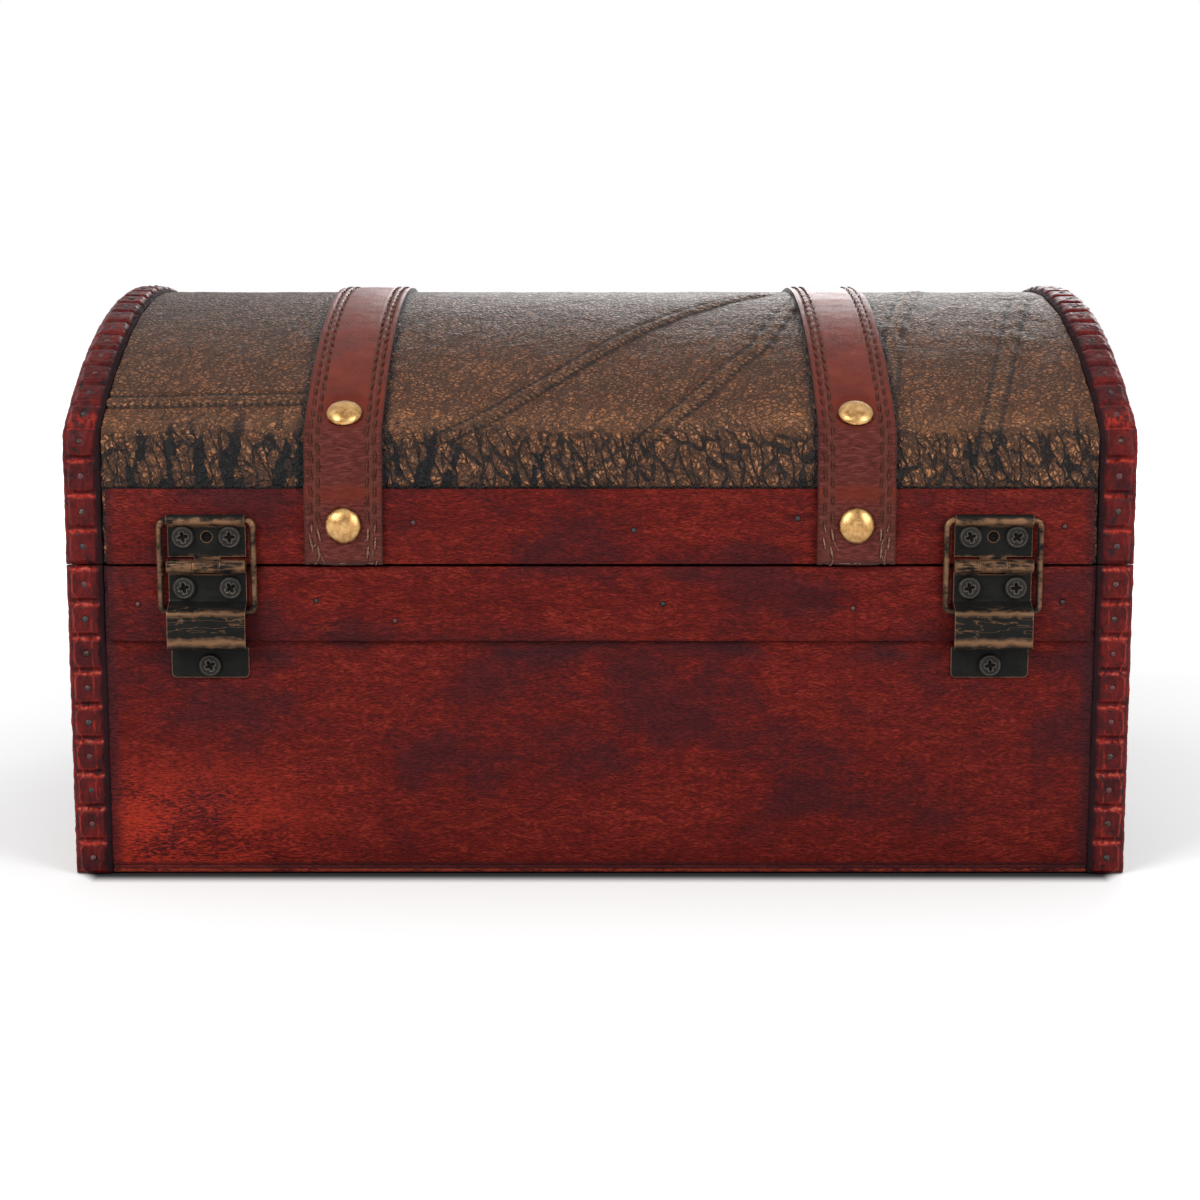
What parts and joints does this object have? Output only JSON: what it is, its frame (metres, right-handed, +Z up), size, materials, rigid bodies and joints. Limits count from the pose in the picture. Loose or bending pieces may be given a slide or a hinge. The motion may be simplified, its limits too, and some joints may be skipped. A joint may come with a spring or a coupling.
{
  "type": "treasure chest",
  "caption": "Wooden chest with a leather-covered barrel lid, leather straps, carved end mouldings, stay hinges that hold the lid open, and a hasp with a turning eye.",
  "frame": {"origin": "middle of the underside that the chest stands on, half way between the body's ends and half way between the faces of its back and front mouldings", "axes": "+X along the chest's length to its right end seen from the hinge side, +Y out of the hasp side (the hinge side faces -Y), +Z up"},
  "size_m": [0.28, 0.2249, 0.1542],
  "materials": {
    "body_wood": "worn red-brown stain, satin",
    "rail_wood": "worn red-brown stain, satin",
    "moulding_wood": "dark wine stain, satin",
    "lid_leather": "fine grain, satin",
    "strap_leather": "smooth, stitched edges, satin",
    "tack_brass": "antique, speckled",
    "hinge_steel": "black, worn bronze on edges",
    "hasp_brass": "antique, dark",
    "nail_steel": "dull, dark"
  },
  "bodies": {
    "body": {"body_floor": "body_wood", "body_back_board": "body_wood", "body_front_board": "body_wood", "body_left_end_board": "body_wood", "body_right_end_board": "body_wood", "body_back_rail": "rail_wood", "body_front_rail": "rail_wood", "body_left_back_moulding": "moulding_wood", "body_left_front_moulding": "moulding_wood", "body_right_back_moulding": "moulding_wood", "body_right_front_moulding": "moulding_wood", "body_moulding_nails": "nail_steel", "body_rail_brads": "nail_steel", "hasp_body_plate": "hasp_brass", "hasp_body_screws": "hasp_brass", "hinge_left_body_leaf": "hinge_steel", "hinge_right_body_leaf": "hinge_steel", "hinge_left_body_screws": "hinge_steel", "hinge_right_body_screws": "hinge_steel", "hinge_left_pin": "hinge_steel", "hinge_right_pin": "hinge_steel"},
    "lid": {"lid_top": "body_wood", "lid_back_board": "body_wood", "lid_front_board": "body_wood", "lid_leather": "lid_leather", "lid_left_end_board": "body_wood", "lid_right_end_board": "body_wood", "lid_back_rail": "rail_wood", "lid_front_rail": "rail_wood", "lid_left_moulding": "moulding_wood", "lid_right_moulding": "moulding_wood", "lid_moulding_nails": "nail_steel", "lid_rail_brads": "nail_steel", "strap_left": "strap_leather", "strap_right": "strap_leather", "strap_left_tacks": "tack_brass", "strap_right_tacks": "tack_brass", "hinge_left_lid_leaf": "hinge_steel", "hinge_right_lid_leaf": "hinge_steel", "hinge_left_lid_screws": "hinge_steel", "hinge_right_lid_screws": "hinge_steel", "hasp_lid_plate": "hasp_brass", "hasp_lid_screws": "hasp_brass", "hasp_pin": "hasp_brass"},
    "stay_left": {"stay_left_ring": "hinge_steel"},
    "stay_right": {"stay_right_ring": "hinge_steel"},
    "hasp_tongue": {"hasp_tongue": "hasp_brass"},
    "turning_eye": {"hasp_turning_eye": "hasp_brass"}
  },
  "joints": [
    {"name": "lid_hinge", "type": "hinge", "parent": "body", "child": "lid", "pos_m": [0, -0.10652, 0.0832], "axis": [1, 0, 0], "range_deg": [0, 90]},
    {"name": "stay_left_hinge", "type": "hinge", "parent": "lid", "child": "stay_left", "pos_m": [-0.1027, -0.10605, 0.0953], "axis": [1, 0, 0], "range_deg": [-58.73, 0]},
    {"name": "stay_right_hinge", "type": "hinge", "parent": "lid", "child": "stay_right", "pos_m": [0.1027, -0.10605, 0.0953], "axis": [1, 0, 0], "range_deg": [-58.73, 0]},
    {"name": "tongue_hinge", "type": "hinge", "parent": "lid", "child": "hasp_tongue", "pos_m": [0, 0.10637, 0.0882], "axis": [-1, 0, 0], "range_deg": [0, 180]},
    {"name": "eye_turn", "type": "hinge", "parent": "body", "child": "turning_eye", "pos_m": [0, 0.1055, 0.0712], "axis": [0, 1, 0], "range_deg": [0, 90]}
  ],
  "couplings": [
    {"joint": "stay_left_hinge", "follows": "lid_hinge", "ratio": -0.65249},
    {"joint": "stay_right_hinge", "follows": "lid_hinge", "ratio": -0.65249}
  ]
}
